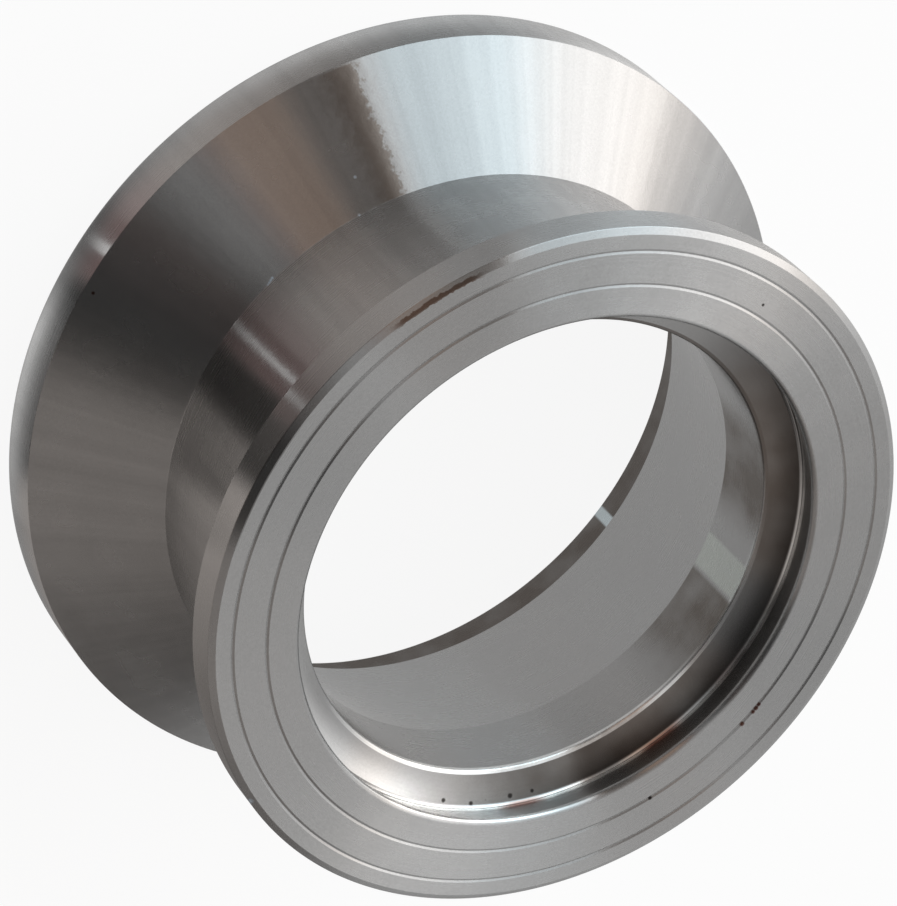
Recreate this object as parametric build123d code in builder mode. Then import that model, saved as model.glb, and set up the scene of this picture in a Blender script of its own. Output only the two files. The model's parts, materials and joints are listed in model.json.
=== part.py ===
from build123d import *
from math import radians, tan
import os

os.makedirs("parts", exist_ok=True)

# A turned stainless reducer with a clamp flange at each end.
# It stands on its large flange: the large face is at height 0 and the small face is on top.
# All sizes are in millimetres and all angles in degrees.

# Outside, from the small flange down
face_to_face = 33.75
small_flange_diameter = 64.0
small_rim_width = 3.4
small_flange_overhang = 5.4
small_flange_back_angle = 20.0
neck_wall = 5.0
cone_height = 7.15
large_rim_width = 4.6
large_face_land = 8.15

# Inside, from the small mouth down
small_recess_depth = 2.75
recess_step = 2.35
recess_floor_drop = 1.73
straight_bore_end = 11.15
bore_half_angle = 13.35
large_recess_depth = 3.37

# Sealing rings cut into both faces, each a fine V measured inward from the rim
sealing_ring_insets = (2.05, 5.05)
sealing_ring_width = 0.4
sealing_ring_depth = 0.08

# Broken and rounded edges
small_chamfer_radial = 0.65
small_chamfer_axial = 0.4
rim_edge_break = 0.25
mouth_rounding = 0.5
bore_edge_break = 0.2
recess_corner_break = 0.25
flange_root_fillet = 0.4

# Outside radii and heights
small_flange_radius = small_flange_diameter / 2
neck_radius = small_flange_radius - small_flange_overhang
small_rim_base = face_to_face - small_rim_width
neck_top = small_rim_base - small_flange_overhang * tan(radians(small_flange_back_angle))
neck_base = large_rim_width + cone_height

# Inside radii and heights
bore_radius = neck_radius - neck_wall
small_recess_radius = bore_radius + recess_step
small_recess_floor = face_to_face - small_recess_depth
bore_top = small_recess_floor - recess_floor_drop
taper_top = face_to_face - straight_bore_end
taper_base = large_recess_depth + recess_floor_drop
taper_base_radius = bore_radius + (taper_top - taper_base) * tan(radians(bore_half_angle))
large_recess_radius = taper_base_radius + recess_step
large_flange_radius = large_recess_radius + large_face_land

turned_section = [
    (large_recess_radius, 0),
    (large_flange_radius, 0),
    (large_flange_radius, large_rim_width),
    (neck_radius, neck_base),
    (neck_radius, neck_top),
    (small_flange_radius, small_rim_base),
    (small_flange_radius, face_to_face - small_chamfer_axial),
    (small_flange_radius - small_chamfer_radial, face_to_face),
    (small_recess_radius, face_to_face),
    (small_recess_radius, small_recess_floor),
    (bore_radius, bore_top),
    (bore_radius, taper_top),
    (taper_base_radius, taper_base),
    (large_recess_radius, large_recess_depth),
]


def corner(section, radius, height):
    """The corner of the section at this radius and height."""
    near = 0.01
    level = section.vertices().filter_by(lambda point: abs(point.Y - height) < near)
    return level.filter_by(lambda point: abs(point.X - radius) < near)


with BuildPart() as reducer:
    # One section, with its corners finished, is turned about the axis
    with BuildSketch(Plane.XZ) as section:
        with BuildLine():
            Polyline(*turned_section, close=True)
        make_face()

        # Inner corners, and the root of the small flange
        chamfer(corner(section, small_recess_radius, small_recess_floor), recess_corner_break)
        chamfer(corner(section, large_recess_radius, large_recess_depth), recess_corner_break)
        fillet(corner(section, neck_radius, neck_top), flange_root_fillet)

        # Outer edges of the mouths, the bore and the large rim
        fillet(corner(section, small_recess_radius, face_to_face), mouth_rounding)
        chamfer(corner(section, large_recess_radius, 0), rim_edge_break)
        chamfer(corner(section, large_flange_radius, 0), rim_edge_break)
        chamfer(corner(section, bore_radius, bore_top), bore_edge_break)
        chamfer(corner(section, taper_base_radius, taper_base), bore_edge_break)
    revolve(axis=Axis.Z)

    # Two fine V rings in each sealing face
    faces_to_seal = (
        (small_flange_radius, face_to_face, -sealing_ring_depth),
        (large_flange_radius, 0, sealing_ring_depth),
    )
    for rim_radius, face_height, cut in faces_to_seal:
        for inset in sealing_ring_insets:
            ring_radius = rim_radius - inset
            with BuildSketch(Plane.XZ):
                with BuildLine():
                    Polyline(
                        (ring_radius - sealing_ring_width / 2, face_height),
                        (ring_radius, face_height + cut),
                        (ring_radius + sealing_ring_width / 2, face_height),
                        close=True,
                    )
                make_face()
            revolve(axis=Axis.Z, mode=Mode.SUBTRACT)

reducer.part.label = "reducer_body"
export_step(reducer.part, "parts/reducer_body.step")

print("large flange diameter", round(2 * large_flange_radius, 2))
print("bores", round(2 * bore_radius, 2), round(2 * taper_base_radius, 2))
print("recesses", round(2 * small_recess_radius, 2), round(2 * large_recess_radius, 2))
print("volume mm3", round(reducer.part.volume, 1))
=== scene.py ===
"""Looks for the turned reducer: a finely lathed stainless body on a pale floor in a soft light tent."""

import json
import math

import bmesh
import bpy
from mathutils import Matrix, Vector


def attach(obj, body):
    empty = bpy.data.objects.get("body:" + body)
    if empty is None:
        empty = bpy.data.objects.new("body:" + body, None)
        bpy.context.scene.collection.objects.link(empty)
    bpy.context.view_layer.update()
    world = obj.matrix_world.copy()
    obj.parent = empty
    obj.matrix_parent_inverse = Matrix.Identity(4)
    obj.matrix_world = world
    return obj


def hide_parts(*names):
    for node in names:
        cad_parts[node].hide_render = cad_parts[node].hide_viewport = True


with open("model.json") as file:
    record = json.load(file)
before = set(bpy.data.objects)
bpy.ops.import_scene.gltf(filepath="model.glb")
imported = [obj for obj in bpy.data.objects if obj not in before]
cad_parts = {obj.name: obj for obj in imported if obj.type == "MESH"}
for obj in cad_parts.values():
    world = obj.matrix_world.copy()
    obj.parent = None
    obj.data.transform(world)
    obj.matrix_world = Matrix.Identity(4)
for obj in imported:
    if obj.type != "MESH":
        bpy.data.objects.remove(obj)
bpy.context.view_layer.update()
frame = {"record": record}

MM = 0.001
RADIAN = math.degrees(1)
FULL_TURN = 360

mounts = {mount["name"]: mount for mount in frame["record"]["mounts"]}


def fit_radius(name):
    """The radius in millimetres of a bore or a rim that the record's mounts give."""
    return mounts[name]["dims"]["r_mm"]


# Sizes of the turned section in millimetres. The large rim stays a hair inside the solid's.
TOP = mounts["small_face"]["pos_m"][2] / MM
SMALL_RIM_R = fit_radius("small_rim")
LARGE_RIM_R = fit_radius("large_rim") - 0.013
LARGE_RECESS_R = fit_radius("large_recess")
BORE_R = fit_radius("straight_bore")
NECK_R = 26.60
TAPER_BASE_R = 25.755

LARGE_RIM_TOP = 4.60
NECK_BASE = 11.75
NECK_TOP = 28.385
SMALL_RIM_BASE = 30.35
CHAMFER_IN = 0.58
CHAMFER_DOWN = 0.33
TAPER_TOP = 22.60
TAPER_BASE = 5.10
LARGE_RECESS_ROOF = 3.37

# Fine V rings in the two faces, in the order in which the section passes them
LARGE_RINGS = (31.20, 34.20)
SMALL_RINGS = (29.95, 26.95)
RING_HALF_WIDTH = 0.19
RING_DEPTH = 0.10
RING_ROUNDING = 0.05

# The small recess, from its mouth down: radius, height, and size of the rounding at each corner.
# Its wall leans outward down to a small step, where a fine ridge parts it from the sloping ledge.
SMALL_RECESS = (
    (23.75, TOP, 0.50),
    (24.88, 30.52, 0.04),
    (24.76, 30.50, 0.04),
    (24.58, 30.76, 0.10),
    (24.34, 30.46, 0.08),
    (BORE_R, 29.27, 0.22),
)


def v_ring(radius, face, depth, way):
    """Corners of a V ring. The section passes it outward where way is 1, and inward where it is -1."""
    half = way * RING_HALF_WIDTH
    return [
        (radius - half, face, RING_ROUNDING),
        (radius, face + depth, RING_ROUNDING),
        (radius + half, face, RING_ROUNDING),
    ]


# Corners of the section, from the large mouth round the outside and back down the bore:
# radius, height, and size of the rounding
SECTION = (
    (LARGE_RECESS_R, 0.0, 0.20),
    *v_ring(LARGE_RINGS[0], 0.0, RING_DEPTH, 1),
    *v_ring(LARGE_RINGS[1], 0.0, RING_DEPTH, 1),
    (LARGE_RIM_R, 0.0, 0.22),
    (LARGE_RIM_R, LARGE_RIM_TOP, 0.12),
    (NECK_R, NECK_BASE, 0.12),
    (NECK_R, NECK_TOP, 0.40),
    (SMALL_RIM_R, SMALL_RIM_BASE, 0.12),
    (SMALL_RIM_R, TOP - CHAMFER_DOWN, 0.10),
    (SMALL_RIM_R - CHAMFER_IN, TOP, 0.10),
    *v_ring(SMALL_RINGS[0], TOP, -RING_DEPTH, -1),
    *v_ring(SMALL_RINGS[1], TOP, -RING_DEPTH, -1),
    *SMALL_RECESS,
    (BORE_R, TAPER_TOP, 0.15),
    (TAPER_BASE_R, TAPER_BASE, 0.12),
    (LARGE_RECESS_R, LARGE_RECESS_ROOF, 0.18),
)


def rounded(corners, steps=4):
    """Points of the closed section with an arc at each corner: radius, height and outward normal."""
    points = []
    for i, (r, z, size) in enumerate(corners):
        here = Vector((r, z))
        to_last = (Vector(corners[i - 1][:2]) - here).normalized()
        to_next = (Vector(corners[(i + 1) % len(corners)][:2]) - here).normalized()
        half = to_last.angle(to_next) / 2
        reach = size / math.tan(half)
        centre = here + (to_last + to_next).normalized() * (size / math.sin(half))
        start = here + to_last * reach
        end = here + to_next * reach
        first = math.atan2(start.y - centre.y, start.x - centre.x)
        last = math.atan2(end.y - centre.y, end.x - centre.x)
        swing = (last - first + math.pi) % (2 * math.pi) - math.pi
        # The section runs with the metal on its left, so a left turn is an outer corner
        outward = 1.0 if swing > 0 else -1.0
        for k in range(steps + 1):
            angle = first + swing * k / steps
            spoke = Vector((math.cos(angle), math.sin(angle)))
            points.append((*(centre + spoke * size), *(spoke * outward)))
    return points


def spokes(count):
    """Evenly spaced level directions, each as its cosine and sine."""
    angles = (2 * math.pi * i / count for i in range(count))
    return [(math.cos(angle), math.sin(angle)) for angle in angles]


def new_object(name, bm, height=0.0):
    """Makes an object of a bmesh and puts it in the scene."""
    mesh = bpy.data.meshes.new(name)
    bm.to_mesh(mesh)
    bm.free()
    made = bpy.data.objects.new(name, mesh)
    made.location.z = height
    bpy.context.scene.collection.objects.link(made)
    return made


def lathe(name, section, segments):
    """A closed ring, the section turned about Z, with an exact normal at each point."""
    bm = bmesh.new()
    rows = []
    normals = []
    for c, s in spokes(segments):
        rows.append([bm.verts.new((r * c * MM, r * s * MM, z * MM)) for r, z, _, _ in section])
        normals += [(across * c, across * s, up) for _, _, across, up in section]
    for one, two in zip(rows, rows[1:] + rows[:1]):
        for k in range(len(section)):
            m = (k + 1) % len(section)
            bm.faces.new((one[k], two[k], two[m], one[m]))
    made = new_object(name, bm)
    made.data.polygons.foreach_set("use_smooth", [True] * len(made.data.polygons))
    made.data.normals_split_custom_set_from_vertices(normals)
    return made


body = lathe("reducer_turned", rounded(SECTION), 512)


class Graph:
    """The nodes of one material. An input takes a number, a colour, a direction or another node's socket."""

    # The mix node has a set of sockets for each kind of data: these are the ones for colours
    MIX_FIRST = 6
    MIX_SECOND = 7
    MIX_RESULT = 2

    def __init__(self, name):
        self.material = bpy.data.materials.new(name)
        self.material.use_nodes = True
        self.tree = self.material.node_tree
        self.tree.nodes.clear()

    def node(self, kind, inputs, **settings):
        """A node with these settings; its inputs go by name or number."""
        made = self.tree.nodes.new(kind)
        for key, value in settings.items():
            setattr(made, key, value)
        for key, value in inputs.items():
            self.feed(made.inputs[key], value)
        return made

    def feed(self, socket, value):
        if isinstance(value, bpy.types.NodeSocket):
            self.tree.links.new(value, socket)
        elif socket.type == "RGBA":
            socket.default_value = (*value, 1)
        else:
            socket.default_value = value

    def surface(self, shader):
        """Puts a shader on the surface and gives the finished material."""
        self.node("ShaderNodeOutputMaterial", {"Surface": shader.outputs[0]})
        return self.material

    def maths(self, operation, *values):
        return self.node("ShaderNodeMath", dict(enumerate(values)), operation=operation).outputs[0]

    def vectors(self, operation, *values):
        return self.node("ShaderNodeVectorMath", dict(enumerate(values)), operation=operation)

    def product(self, first, *others):
        for other in others:
            first = self.maths("MULTIPLY", first, other)
        return first

    def scaled(self, value, factor, start):
        """A value times a factor, added to a start."""
        return self.maths("MULTIPLY_ADD", value, factor, start)

    def rise(self, value, low, high):
        """A soft step from 0 at low to 1 at high, or down from 1 where low is the higher of the two."""
        limits = {"Value": value, "From Min": low, "From Max": high}
        return self.node("ShaderNodeMapRange", limits, interpolation_type="SMOOTHSTEP").outputs[0]

    def within(self, value, low, high, soft):
        """1 where a value lies between two limits, with soft ends."""
        above_low = self.rise(value, low - soft, low + soft)
        below_high = self.rise(value, high + soft, high - soft)
        return self.product(above_low, below_high)

    def noise(self, place, scale, detail, rough):
        """Noise about zero, from -0.5 to 0.5."""
        inputs = {"Vector": place, "Scale": scale, "Detail": detail, "Roughness": rough}
        return self.maths("SUBTRACT", self.node("ShaderNodeTexNoise", inputs).outputs["Fac"], 0.5)

    def blend(self, share, first, second):
        """A colour between two."""
        inputs = {"Factor": share, self.MIX_FIRST: first, self.MIX_SECOND: second}
        return self.node("ShaderNodeMix", inputs, data_type="RGBA").outputs[self.MIX_RESULT]

    def place(self):
        """The place on the object, in metres."""
        return self.node("ShaderNodeTexCoord", {}).outputs["Object"]

    def polar(self, place):
        """The turn about Z of a place, in degrees clockwise from +Y, its distance from Z and its height."""
        split = self.node("ShaderNodeSeparateXYZ", {0: place})
        x, y, z = (split.outputs[axis] for axis in "XYZ")
        turn = self.product(self.maths("ARCTAN2", x, y), RADIAN)
        squares = self.maths("ADD", self.product(x, x), self.product(y, y))
        return turn, self.maths("SQRT", squares), z


# Colours of the steel and of what is on it, and of painted highlights, shade and reflections
STEEL = (0.36, 0.358, 0.355)
# Painted highlight, for lit edges and the lit part of the small recess's wall
BRIGHT = (0.80, 0.80, 0.79)
# Brown stain for the ledge, and painted shade for the small recess's wall and the far edges; it also darkens
# the large recess
STAIN_AND_SHADE = (0.122, 0.108, 0.098)
RUST = (0.105, 0.052, 0.040)
RIDGE_RUST = (0.36, 0.20, 0.16)
CHAMFER_RUST = (0.13, 0.090, 0.070)
# Painted dark fringe, for the edge of the window's reflection on the cone
CONE_REFLECTION_FRINGE = (0.14, 0.095, 0.060)
# Painted dark reflection, for the chamfer
CHAMFER_DARK_REFLECTION = (0.100, 0.095, 0.090)
PIT = (0.030, 0.027, 0.025)
SPECK = (0.60, 0.68, 0.76)
BORE_DULL = (0.160, 0.144, 0.131)
# Painted reflections: a bright patch for the bore and a glint for the large recess
BORE_REFLECTION = (0.455, 0.475, 0.450)
RECESS_GLINT = (0.52, 0.58, 0.60)

# Parts of the surface, each between two radii and between two heights in millimetres, with soft ends
LEDGE = ((21.0, 24.42), (29.30, 30.50))
WALL = ((23.5, 25.10), (30.88, 33.30))
RIDGE = ((24.42, 25.10), (30.30, 30.86))
BORE_EDGE = ((21.4, 21.95), (28.90, 29.52))
MOUTH_EDGE = ((23.5, 24.35), (33.25, 33.60))
WHOLE_SMALL_RECESS = ((10.0, 24.90), (29.30, 33.60))
CHAMFER = ((31.3, 32.1), (33.30, 33.90))
CHAMFER_INNER_SIDE = ((31.32, 31.72), (33.30, 33.90))
STRAIGHT_BORE = ((10.0, 21.90), (22.60, 29.20))
CONE = ((26.62, 36.2), (4.70, 11.75))
LARGE_RECESS = ((20.0, 28.30), (-1.0, 4.95))
RADIUS_SOFT = 0.03
HEIGHT_SOFT = 0.05

# The outside lies past these radii, and either between these heights or on the rim of the large flange
OUTSIDE_RADII = (26.3, 40.0)
OUTSIDE_HEIGHTS = (4.7, 30.2)
LARGE_RIM_RADII = (36.0, 40.0)
OUTSIDE_SOFT = 0.1

# Stretches round the axis, from one turn to another in degrees, and how soft their ends are
THIN_STAIN = (-34.0, -10.0, 7.0)
SHADED_WALL = (-56.0, 22.0, 12.0)
# Painted highlight on the ledge
LIT_LEDGE = (62.0, 112.0, 12.0)
# Painted highlights on the ridge and on the mouth's edge
LIT_RIDGE = (-56.0, 74.0, 8.0)
LIT_MOUTH = (36.0, 104.0, 9.0)
RUSTED_RIDGE = ((4.0, 12.0, 2.0), (36.0, 44.0, 3.0))
RUSTED_CHAMFER = (-173.0, -159.0, 1.5)
# Painted dark reflection on the chamfer
DARK_REFLECTED_CHAMFER = (148.0, 166.0, 4.0)
DULL_BORE = (-69.0, -43.0, 6.0)
# Painted reflections: a bright patch in the bore and a glint in the large recess
REFLECTED_BORE = (-34.0, -25.5, 0.6)
GLINT_STRETCH = (-14.6, -12.4, 0.3)

# Longer stretches, which come and go slowly: the turns of their start, and of their end where they have one
STAINED_LEDGE = ((-135.0, -55.0), (80.0, 36.0))
# Painted shade on the ledge
DARK_LEDGE = ((-110.0, -60.0), (45.0, 15.0))
# Painted highlight on the bore's edge
LIT_BORE_EDGE = ((-60.0, 30.0), (104.0, 78.0))
FADED_BORE = ((-25.2, -24.0), (8.0, -16.0))
# Painted dark fringe at the edge of the window's reflection on the cone
STREAK = ((-160.5, -155.0), (-152.6, -153.6))
# Painted highlight on the wall of the small recess, past each of these turns
LIT_WALL_LOWER = (32.0, 64.0)
LIT_WALL_UPPER = (-55.0, -80.0)
# Painted shade on the far side of the mouth's edge and on the upper side of the bore's edge, past these turns
FAR_MOUTH = (122.0, 142.0)
UPPER_BORE_EDGE = (-52.0, -66.0)

# Small marks: radius, and place, in millimetres
RUST_SPOTS = (
    (0.22, -4.05, 26.79, TOP),
    (0.26, -4.45, 26.70, TOP),
    (0.22, -4.85, 26.60, TOP),
    (0.26, -2.63, 26.95, TOP),
    (0.17, 12.56, -33.29, 5.09),
)
PITS = (
    (0.22, 7.61, 25.90, TOP),
    (0.15, -27.14, -6.99, TOP),
    (0.22, 20.56, 12.49, 30.35),
    (0.24, 19.13, 14.92, 30.35),
    (0.14, 18.05, 15.90, 30.20),
    (0.26, 16.28, 17.55, 30.25),
    (0.20, 14.63, 18.91, 30.25),
    (0.16, 23.40, 7.30, 30.30),
    (0.13, 22.60, 9.40, 30.30),
    (0.12, 21.70, 11.20, 30.30),
)
SPECKS = (
    (0.17, -9.96, -27.23, 9.97),
    (0.15, -8.05, -25.38, 11.73),
    (0.13, 1.45, -26.53, 11.77),
    (0.13, 1.24, -26.59, 11.74),
    (0.13, 1.02, -26.64, 11.70),
    (0.13, 0.81, -26.70, 11.67),
    (0.36, 31.55, -5.29, 33.60),
)
# A mark is full inside the first share of its radius and gone at the second
MARK_FADE = (0.5, 1.2)


class Steel(Graph):
    """The turned steel: radii and heights are in millimetres, turns in degrees clockwise from +Y."""

    def __init__(self):
        super().__init__("turned_steel")
        self.point = self.place()
        self.turn, radius, height = self.polar(self.point)
        self.radius = self.maths("DIVIDE", radius, MM)
        self.height = self.maths("DIVIDE", height, MM)
        self.add_texture()
        self.ledge = self.zone(LEDGE)
        self.wall = self.zone(WALL)
        self.ridge = self.zone(RIDGE)
        self.bore_edge = self.zone(BORE_EDGE)
        self.mouth_edge = self.zone(MOUTH_EDGE)
        self.large_recess = self.zone(LARGE_RECESS)
        self.outside = self.find_outside()
        self.colour = STEEL

    def add_texture(self):
        """Turning marks run round the axis, rubbing marks along the section, and the others every way."""
        along = self.scaled(self.height, 1.37, self.radius)
        across = self.node("ShaderNodeCombineXYZ", {"X": along})
        around = self.node("ShaderNodeCombineXYZ", {"X": self.turn, "Y": self.product(along, 0.06)})
        self.marks = self.noise(across.outputs[0], scale=3.2, detail=4.0, rough=0.7)
        self.rubs = self.noise(around.outputs[0], scale=0.35, detail=3.0, rough=0.6)
        self.grain = self.noise(self.point, scale=5200.0, detail=1.0, rough=0.6)
        self.ragged = self.noise(self.point, scale=1500.0, detail=2.0, rough=0.65)
        self.waves = self.noise(self.point, scale=900.0, detail=1.0, rough=0.5)
        self.clouds = self.noise(self.point, scale=260.0, detail=2.0, rough=0.55)

    def zone(self, part, radius=None):
        """1 on a part of the surface, 0 elsewhere."""
        radii, heights = part
        across = self.within(self.radius if radius is None else radius, *radii, RADIUS_SOFT)
        up = self.within(self.height, *heights, HEIGHT_SOFT)
        return self.product(across, up)

    def find_outside(self):
        """1 on the rim of the large flange, the cone, the neck and the back of the small flange."""
        middle = self.within(self.height, *OUTSIDE_HEIGHTS, OUTSIDE_SOFT)
        large_rim = self.within(self.radius, *LARGE_RIM_RADII, OUTSIDE_SOFT)
        outer = self.within(self.radius, *OUTSIDE_RADII, OUTSIDE_SOFT)
        return self.product(self.maths("MAXIMUM", middle, large_rim), outer)

    def sector(self, stretch):
        """1 on a stretch round the axis, 0 elsewhere."""
        return self.within(self.turn, *stretch)

    def slow_sector(self, start, end, turn=None):
        """1 on a stretch round the axis whose two ends differ, 0 elsewhere."""
        turn = self.turn if turn is None else turn
        return self.product(self.rise(turn, *start), self.rise(turn, *end))

    def paint(self, colour, *shares):
        """Lays a colour on the steel, in the share that all these shares multiplied give."""
        self.colour = self.blend(self.product(*shares), self.colour, colour)

    def stain_and_shade_recesses(self):
        """Brown stain on the ledge of the small recess, at its right and bottom; painted shade on the right
        of its wall; and a brown darkening all round the large recess.
        """
        thinner = self.scaled(self.sector(THIN_STAIN), -0.72, 1.0)
        ledge = self.product(self.ledge, self.slow_sector(*STAINED_LEDGE), thinner)
        wall = self.product(self.wall, self.sector(SHADED_WALL))
        darkened = self.scaled(wall, 0.65, self.maths("MAXIMUM", ledge, self.large_recess))
        self.paint(STAIN_AND_SHADE, darkened, self.scaled(self.clouds, 0.7, 0.92))

    def paint_edge_shade(self):
        """Painted shade on the far side of the mouth's edge and on the upper side of the bore's edge."""
        far = self.rise(self.maths("ABSOLUTE", self.turn), *FAR_MOUTH)
        self.paint(STAIN_AND_SHADE, self.mouth_edge, self.product(far, 0.55))
        upper = self.rise(self.turn, *UPPER_BORE_EDGE)
        self.paint(STAIN_AND_SHADE, self.bore_edge, self.product(upper, 0.85))

    def paint_edge_highlights(self):
        """Painted highlights: edges and the wall of the small recess are painted bright, mostly on the
        stretches round the axis where they catch the light.
        """
        lower = self.rise(self.turn, *LIT_WALL_LOWER)
        upper = self.rise(self.turn, *LIT_WALL_UPPER)
        highlighted = (
            (self.wall, self.maths("MAXIMUM", lower, upper)),
            (self.ridge, self.scaled(self.sector(LIT_RIDGE), 0.90, 0.10)),
            (self.bore_edge, self.slow_sector(*LIT_BORE_EDGE)),
            (self.mouth_edge, self.scaled(self.sector(LIT_MOUTH), 0.95, 0.05)),
        )
        uneven = self.scaled(self.clouds, 1.1, 0.90)
        for part, share in highlighted:
            self.paint(BRIGHT, part, share, uneven)

    def add_rust_and_painted_reflections(self):
        """Rust on the ridge and in a ragged streak on the chamfer, a painted dark reflection on the chamfer,
        and a painted dark fringe, ragged, at the edge of the window's reflection on the cone.
        """
        ridge = self.maths("MAXIMUM", *(self.sector(stretch) for stretch in RUSTED_RIDGE))
        self.paint(RIDGE_RUST, self.ridge, ridge, 0.75)

        chamfer = self.zone(CHAMFER_INNER_SIDE, self.scaled(self.ragged, 0.5, self.radius))
        self.paint(CHAMFER_RUST, chamfer, self.product(self.sector(RUSTED_CHAMFER), 0.9))
        # Painted dark reflection on the chamfer
        self.paint(CHAMFER_DARK_REFLECTION, self.zone(CHAMFER), 0.7, self.sector(DARK_REFLECTED_CHAMFER))

        # A painted dark fringe with ragged edges, along the edge of the window's reflection on the cone
        torn_turn = self.scaled(self.ragged, 5.0, self.turn)
        self.paint(CONE_REFLECTION_FRINGE, self.zone(CONE), self.slow_sector(*STREAK, torn_turn), 0.5)

    def spots(self, marks):
        """1 on every mark of a list, 0 elsewhere."""
        found = 0.0
        full, gone = MARK_FADE
        for size, *centre in marks:
            gap = self.vectors("DISTANCE", self.point, [c * MM for c in centre]).outputs["Value"]
            found = self.maths("MAXIMUM", found, self.rise(gap, size * MM * gone, size * MM * full))
        return found

    def add_marks(self):
        for colour, marks in ((RUST, RUST_SPOTS), (PIT, PITS), (SPECK, SPECKS)):
            self.paint(colour, self.spots(marks))

    def cloud_bore_and_paint_reflections(self):
        """The straight bore is cloudy, with a painted reflection, one bright patch, between two dull ones."""
        bore = self.zone(STRAIGHT_BORE)
        dull = self.maths("MAXIMUM", self.sector(DULL_BORE), self.slow_sector(*FADED_BORE))
        self.paint(BORE_DULL, bore, self.product(dull, self.scaled(self.clouds, 1.2, 0.85)))
        self.paint(BORE_REFLECTION, bore, self.sector(REFLECTED_BORE))
        # A painted glint, one bright spot, in the brown wall of the large recess
        self.paint(RECESS_GLINT, self.large_recess, self.sector(GLINT_STRETCH))

    def tone(self):
        """How light or dark each point is, as a factor of its colour, with a painted highlight and painted
        shade on the ledge.
        """
        tone = self.scaled(self.marks, 0.16, 1.0)
        tone = self.scaled(self.grain, 0.17, tone)
        tone = self.scaled(self.clouds, 0.16, tone)
        tone = self.scaled(self.product(self.rubs, self.outside), 0.34, tone)

        # Painted highlight and shade: the ledge gets lighter outward at the bottom, and darker outward on the
        # right
        lean = self.maths("SUBTRACT", self.sector(LIT_LEDGE), self.slow_sector(*DARK_LEDGE))
        outward = self.maths("SUBTRACT", self.rise(self.radius, 21.9, 24.3), 0.45)
        return self.product(tone, self.scaled(self.product(lean, outward, self.ledge), 0.7, 1.0))

    def roughness(self):
        """The small recess is smoother than the rest."""
        rough = self.scaled(self.zone(WHOLE_SMALL_RECESS), -0.05, 0.27)
        rough = self.scaled(self.marks, 0.06, rough)
        return self.scaled(self.clouds, 0.05, rough)

    def relief(self):
        """Turning marks and grain. The outside is also uneven, so that its reflections have ragged edges."""
        waves = self.product(self.waves, self.outside)
        height = self.scaled(waves, 2.2, self.scaled(self.grain, 0.6, self.marks))
        bump = {"Height": height, "Strength": 0.25, "Distance": 0.01 * MM}
        return self.node("ShaderNodeBump", bump).outputs[0]

    def finished(self):
        toned = {"Vector": self.colour, "Scale": self.tone()}
        colour = self.node("ShaderNodeVectorMath", toned, operation="SCALE")
        tangent = self.node("ShaderNodeTangent", {}, direction_type="RADIAL", axis="Z")
        looks = {
            "Base Color": colour.outputs[0],
            "Metallic": 1.0,
            "Roughness": self.roughness(),
            "Anisotropic": 1.0,
            "Anisotropic Rotation": 0.25,
            "Tangent": tangent.outputs[0],
            "Normal": self.relief(),
        }
        return self.surface(self.node("ShaderNodeBsdfPrincipled", looks))


def steel_material():
    steel = Steel()
    steel.stain_and_shade_recesses()
    steel.paint_edge_shade()
    steel.paint_edge_highlights()
    steel.add_rust_and_painted_reflections()
    steel.add_marks()
    steel.cloud_bore_and_paint_reflections()
    return steel.finished()


body.data.materials.append(steel_material())
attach(body, "root")
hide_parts("reducer_body")


# The floor is a matte grey that takes the shadow. Each kind of ray sees a share of plain white on it.
FLOOR_GREY = (0.9, 0.9, 0.9)
WHITE = (1.0, 1.0, 1.0)
WHITE_SHARES = (
    ("Is Camera Ray", 0.91),
    ("Is Glossy Ray", 0.68),
    ("Is Transmission Ray", 0.91),
)
# Sizes of the floor, the tent over it and the cards laid on it, in metres
FLOOR_R = 1.4
TENT_R = 1.5
CARDS_INNER_R = 0.0364
CARDS_OUTER_R = 1.39
FLOOR_HEIGHT = -0.05 * MM
CARDS_HEIGHT = 0.02 * MM


def floor_material():
    floor = Graph("pale_floor")
    matte = floor.node("ShaderNodeBsdfDiffuse", {"Color": FLOOR_GREY})
    white = floor.node("ShaderNodeEmission", {"Color": WHITE, "Strength": 1.0})
    rays = floor.node("ShaderNodeLightPath", {}).outputs
    share = 0.0
    for kind, part in WHITE_SHARES:
        share = floor.scaled(rays[kind], part, share)
    mix = floor.node("ShaderNodeMixShader", {0: share, 1: matte.outputs[0], 2: white.outputs[0]})
    return floor.surface(mix)


def disc(name, radius, height):
    bm = bmesh.new()
    bmesh.ops.create_circle(bm, cap_ends=True, radius=radius, segments=96)
    return new_object(name, bm, height)


def dome(name, radius):
    """The upper half of a sphere, open below."""
    bm = bmesh.new()
    bmesh.ops.create_uvsphere(bm, u_segments=96, v_segments=48, radius=radius)
    below = [vert for vert in bm.verts if vert.co.z < -1 * MM]
    bmesh.ops.delete(bm, geom=below, context="VERTS")
    return new_object(name, bm)


def annulus(name, inner, outer, height):
    """A flat ring that faces up."""
    bm = bmesh.new()
    rows = [[bm.verts.new((r * c, r * s, 0)) for r in (inner, outer)] for c, s in spokes(128)]
    for one, two in zip(rows, rows[1:] + rows[:1]):
        bm.faces.new((one[0], one[1], two[1], two[0]))
    return new_object(name, bm, height)


floor = disc("pale_floor", FLOOR_R, FLOOR_HEIGHT)
floor.data.materials.append(floor_material())

# Tints of the light
NEUTRAL = (1.0, 1.0, 1.0)
COOL = (0.86, 1.0, 1.07)
CREAM = (1.05, 1.0, 0.96)
WARM = (1.09, 1.0, 0.945)
BROWN = (1.36, 1.0, 0.80)
REDDISH = (1.20, 0.96, 0.93)

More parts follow.
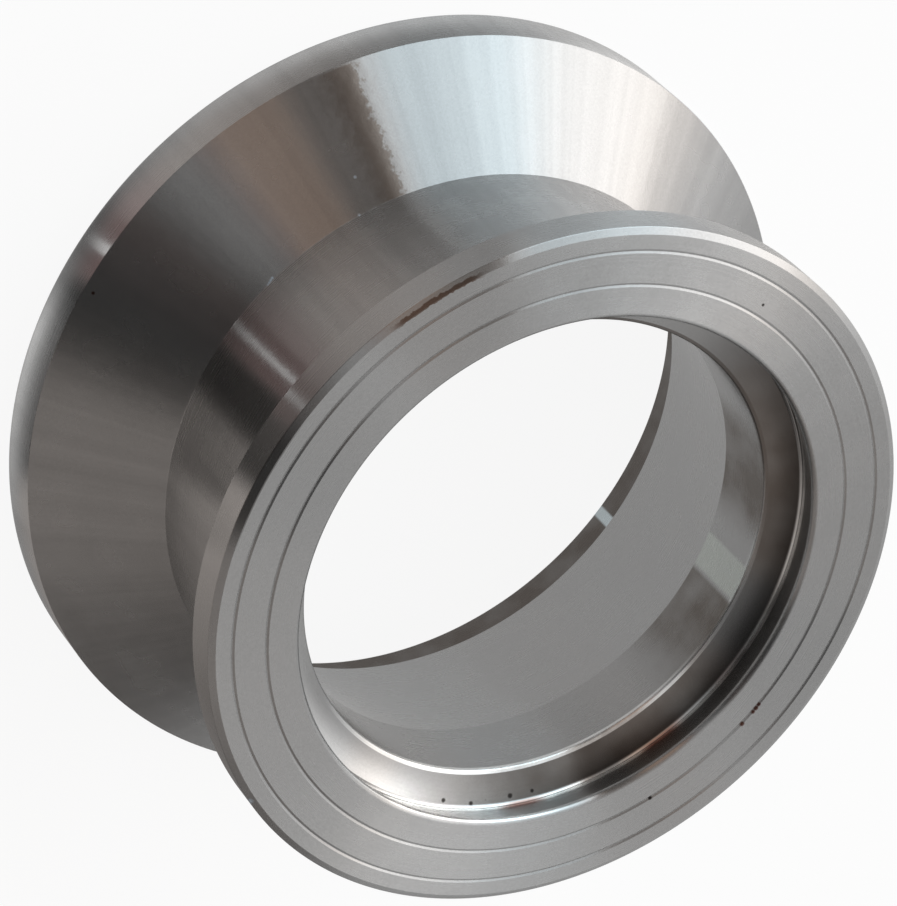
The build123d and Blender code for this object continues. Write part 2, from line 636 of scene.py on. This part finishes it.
# The tent is painted by the tilt that a mirror needs to show it from the front: half way between the way from
# the middle of the part to a point of the tent and the fixed direction FRONT. SIDES is for steep mirrors such
# as the cone, BETWEEN for slanted ones such as the chamfer, and ABOVE for level ones such as the faces. Each
# stop is a turn in degrees, which runs RAMP_LEAD ahead of the azimuth, a brightness, and any tint. In SIDES a
# wide window stands at 247 to 299, with brown and grey shades before it, and dark corners stand at 191 to 213
# and at 123 to 142.
FRONT = (0.0, -0.6423, 0.7664)
MIDDLE_OF_PART = (0, 0, 0.02)
RAMP_LEAD = 39.5
SIDES = (
    (0, 0.71), (110, 0.58), (123, 0.14, WARM), (130, 0.05, WARM), (142, 0.11, WARM), (152, 0.24, WARM),
    (164, 0.37, WARM), (183, 0.40, WARM), (191, 0.10, WARM), (198, 0.06), (211, 0.08, REDDISH), (213, 0.11),
    (219, 0.30), (221, 0.32), (223, 0.26, REDDISH), (226, 0.39, BROWN), (234, 0.37, BROWN), (237, 0.23, WARM),
    (243, 0.18, WARM), (246, 0.22, BROWN), (247, 2.00), (251, 2.00, COOL), (260, 2.30, COOL),
    (269, 3.10, COOL), (278, 3.20), (296, 3.20, CREAM), (299, 1.80, CREAM), (309, 1.36), (322, 1.00),
    (345, 0.92), (360, 0.72),
)
BETWEEN = (
    (0, 0.80), (60, 0.74), (80, 0.60), (110, 0.61), (120, 0.42), (130, 0.32, WARM), (142, 0.40, WARM),
    (160, 0.42, WARM), (170, 0.33, WARM), (182, 0.33, WARM), (188, 0.13), (203, 0.11), (211, 0.28, WARM),
    (217, 0.74), (222, 0.76), (228, 0.42, WARM), (243, 0.34, WARM), (246, 0.36, WARM), (247, 0.80),
    (260, 0.88), (270, 1.35), (280, 1.85), (290, 2.40), (297, 2.40, CREAM), (304, 1.90, CREAM), (312, 1.50),
    (322, 1.20), (335, 0.95), (360, 0.80),
)
ABOVE = (
    (0, 0.69), (50, 0.86), (80, 1.24), (95, 1.62), (125, 1.16), (160, 0.95), (200, 1.08), (225, 0.84),
    (243, 0.80), (249, 0.72), (262, 0.74), (280, 1.00), (294, 0.74), (306, 0.48), (320, 0.46), (345, 0.58),
    (360, 0.69),
)
# Tilts in degrees over which one ramp gives way to the next
SIDES_TO_BETWEEN = (50, 64)
BETWEEN_TO_ABOVE = (73, 85)

# The cards on the floor, by azimuth clockwise from +Y: next to the large rim, then where the neck sees them,
# then where the small rim sees them
BESIDE = (
    (-180, 0.66), (-158, 1.20), (-138, 1.06), (-117, 0.92), (-100, 0.80), (-50, 1.10), (0, 0.80), (60, 0.55),
    (100, 0.42), (118, 0.50), (128, 0.86), (141, 1.35), (150, 1.55), (157, 0.56), (162, 0.34), (168, 0.24),
    (173, 0.42), (180, 0.66),
)
UNDER_NECK = (
    (-180, 0.74, WARM), (-165, 0.50, WARM), (-151, 0.28, WARM), (-138, 0.14, WARM), (-122, 0.52),
    (-108, 1.36), (-93, 1.28), (-79, 0.90), (-50, 1.00), (0, 0.80), (60, 0.34, WARM), (94, 0.44, WARM),
    (122.5, 0.66, WARM), (127.5, 0.02, WARM), (157, 0.01), (158, 0.20, REDDISH), (162, 0.22, REDDISH),
    (163, 0.42), (164, 0.42), (165, 0.34, REDDISH), (171, 0.58, REDDISH), (180, 0.74, WARM),
)
UNDER_RIM = (
    (-180, 0.50, WARM), (-164, 0.76), (-149, 0.80), (-134, 0.62), (-119, 0.54), (-104, 0.34), (-89, 0.31),
    (-74, 0.35), (0, 0.56), (60, 0.32), (92, 0.20, WARM), (121, 0.54, WARM), (140, 1.12, WARM),
    (145, 0.13, WARM), (158, 0.22, WARM), (168, 0.28, WARM), (180, 0.50, WARM),
)
# Distances from the axis in metres over which one of them gives way to the next, and the last one to the tent
BESIDE_TO_NECK = (0.0374, 0.0384)
NECK_TO_RIM = (0.0520, 0.0540)
RIM_TO_TENT = (0.085, 0.170)

# A ramp holds nothing above 1, so all levels are given to it as shares of the brightest
BRIGHTEST = 3.2

# A narrow gap of light in a reddish band, which the neck shows as one thin streak. Both start past the large
# rim, at distances in metres. Each is a stretch of azimuth with soft ends, and a share of the brightest.
STREAK_START = (0.0386, 0.0398)
REDDISH_BAND = ((158.5, 168.5, 1.0), (0.130, 0.086, 0.084))
LIGHT_GAP = ((162.8, 164.4, 0.4), (0.66, 0.66, 0.66))


class Glow(Graph):
    """A surround that lights the part, in colours that change from place to place."""

    def __init__(self, name):
        super().__init__(name)
        self.point = self.place()
        # Only rays that leave the metal or the floor look for this light
        self.material.cycles.emission_sampling = "NONE"

    def around(self, stops, angle, lead=0.0):
        """A ramp round a full turn of an angle in degrees, which gets the lead added to it first."""
        start = stops[0][0]
        share = self.maths("FRACT", self.scaled(angle, 1 / FULL_TURN, (lead - start) / FULL_TURN))
        ramp = self.node("ShaderNodeValToRGB", {0: share})
        elements = ramp.color_ramp.elements
        for i, (at, level, *tints) in enumerate(stops):
            position = (at - start) / FULL_TURN
            if i == len(elements):
                elements.new(position)
            elements[i].position = position
            tint = tints[0] if tints else NEUTRAL
            elements[i].color = (*(level * channel / BRIGHTEST for channel in tint), 1)
        return ramp.outputs[0]

    def tent_colour(self):
        way = self.vectors("SUBTRACT", self.point, MIDDLE_OF_PART).outputs[0]
        way = self.vectors("NORMALIZE", way).outputs[0]
        half = self.vectors("ADD", way, FRONT).outputs[0]
        azimuth, level, height = self.polar(half)
        tilt = self.product(self.maths("ARCTAN2", height, level), RADIAN)
        ramps = (self.around(stops, azimuth, RAMP_LEAD) for stops in (SIDES, BETWEEN, ABOVE))
        sides, between, above = ramps
        lower = self.blend(self.rise(tilt, *SIDES_TO_BETWEEN), sides, between)
        return self.blend(self.rise(tilt, *BETWEEN_TO_ABOVE), lower, above)

    def cards_colour(self):
        azimuth, distance, _ = self.polar(self.point)
        ramps = (self.around(stops, azimuth) for stops in (BESIDE, UNDER_NECK, UNDER_RIM))
        beside, under_neck, under_rim = ramps
        colour = self.blend(self.rise(distance, *BESIDE_TO_NECK), beside, under_neck)
        past_start = self.rise(distance, *STREAK_START)
        for stretch, shade in (REDDISH_BAND, LIGHT_GAP):
            share = self.product(self.within(azimuth, *stretch), past_start)
            colour = self.blend(share, colour, shade)
        colour = self.blend(self.rise(distance, *NECK_TO_RIM), colour, under_rim)
        return self.blend(self.rise(distance, *RIM_TO_TENT), colour, self.tent_colour())

    def lit(self, colour):
        return self.surface(self.node("ShaderNodeEmission", {"Color": colour, "Strength": BRIGHTEST}))


def tent_material():
    glow = Glow("light_tent")
    return glow.lit(glow.tent_colour())


def cards_material():
    glow = Glow("floor_cards")
    return glow.lit(glow.cards_colour())


tent = dome("light_tent", TENT_R)
tent.data.materials.append(tent_material())
tent.visible_camera = False

# Only the metal sees the cards: they don't show in the picture, light the floor or cast a shadow
cards = annulus("floor_cards", CARDS_INNER_R, CARDS_OUTER_R, CARDS_HEIGHT)
cards.data.materials.append(cards_material())
cards.visible_camera = False
cards.visible_diffuse = False
cards.visible_shadow = False
cards.visible_transmission = False

WORLD_GREY = (0.93, 0.93, 0.93, 1)
world = bpy.data.worlds.new("studio")
world.use_nodes = True
background = world.node_tree.nodes["Background"]
background.inputs["Color"].default_value = WORLD_GREY
background.inputs["Strength"].default_value = 1.0
bpy.context.scene.world = world


# The camera looks from the photograph's side: place in metres, angles in degrees, lens in millimetres
CAMERA_PLACE = (0, -0.235468, 0.292966)
LOOKS_DOWN = 50.048
ROLLED = 137.04
FOCAL_LENGTH = 167.48
SENSOR_WIDTH = 36

lens = bpy.data.cameras.new("camera")
lens.sensor_width = SENSOR_WIDTH
lens.lens = FOCAL_LENGTH
lens.clip_start = 0.01
lens.clip_end = 20
camera = bpy.data.objects.new("camera", lens)
bpy.context.scene.collection.objects.link(camera)
tilt = Matrix.Rotation(math.radians(90 - LOOKS_DOWN), 4, "X")
roll = Matrix.Rotation(math.radians(ROLLED), 4, "Z")
camera.matrix_world = Matrix.Translation(CAMERA_PLACE) @ tilt @ roll
bpy.context.scene.camera = camera
bpy.context.scene.view_settings.view_transform = "Standard"
